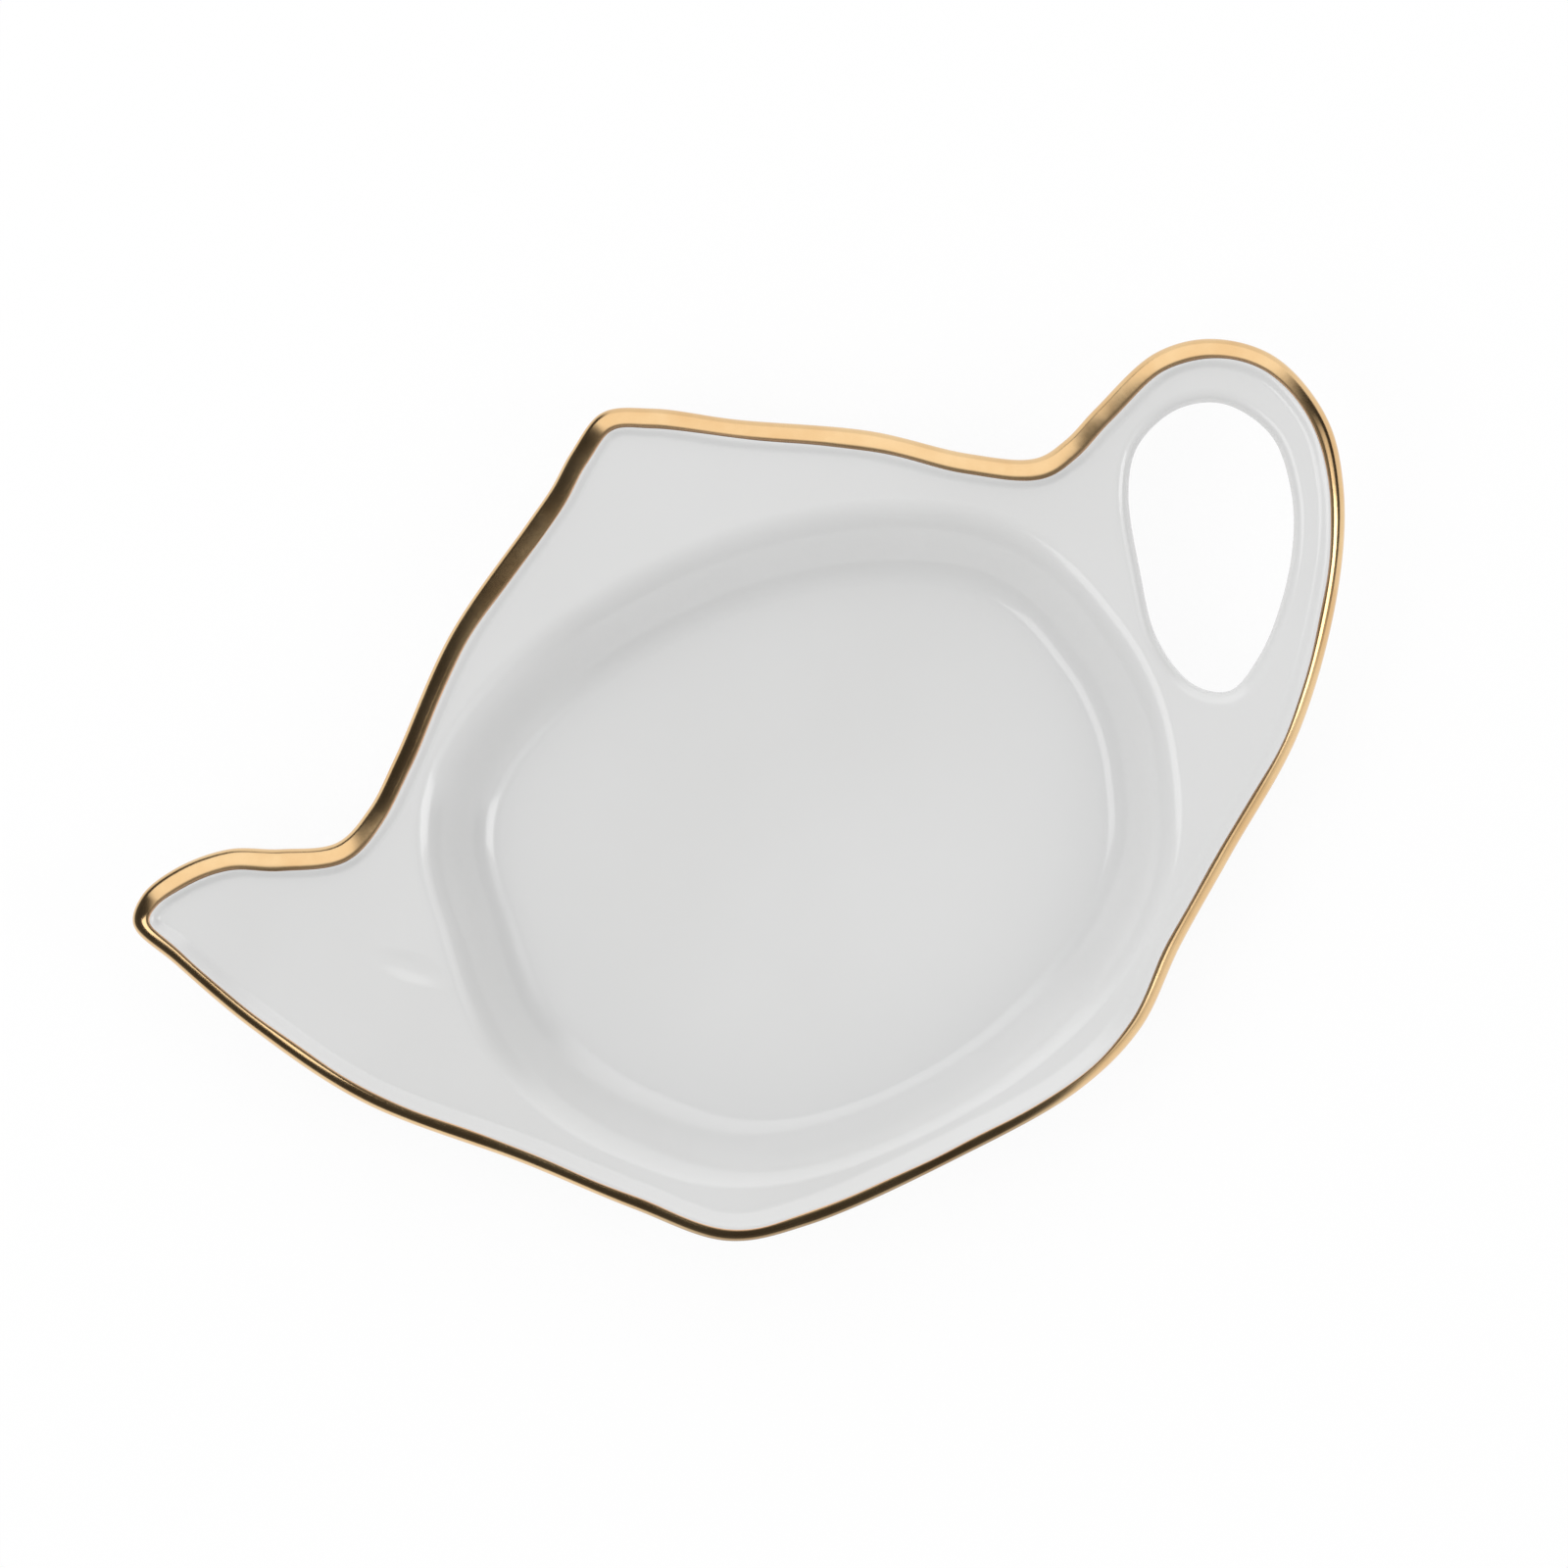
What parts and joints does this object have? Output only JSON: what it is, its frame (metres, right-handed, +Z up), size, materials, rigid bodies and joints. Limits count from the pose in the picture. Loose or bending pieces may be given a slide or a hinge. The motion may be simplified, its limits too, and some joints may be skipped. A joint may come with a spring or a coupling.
{
  "type": "tea bag rest",
  "caption": "Shallow teapot-shaped porcelain dish with a round well for a wet tea bag, a spout, a looped handle with a finger hole, a gilded lip and a foot ring.",
  "frame": {"origin": "on the table, under the middle of the outline's bounding box", "axes": "+X from the spout to the handle, +Y from the base of the teapot outline to its lid, +Z up"},
  "size_m": [0.12, 0.0766, 0.0124],
  "materials": {
    "glazed_porcelain": "white porcelain under a clear gloss glaze, with a soft waviness",
    "fired_gold": "hand-painted bright gold fired on the glaze, polished, a little uneven at its edge",
    "bare_porcelain": "unglazed matt bisque on the standing ring, faintly stained"
  },
  "bodies": {
    "root": {"porcelain_dish": "glazed_porcelain", "gilt_rim": "fired_gold", "foot_ring": "bare_porcelain"}
  },
  "joints": []
}
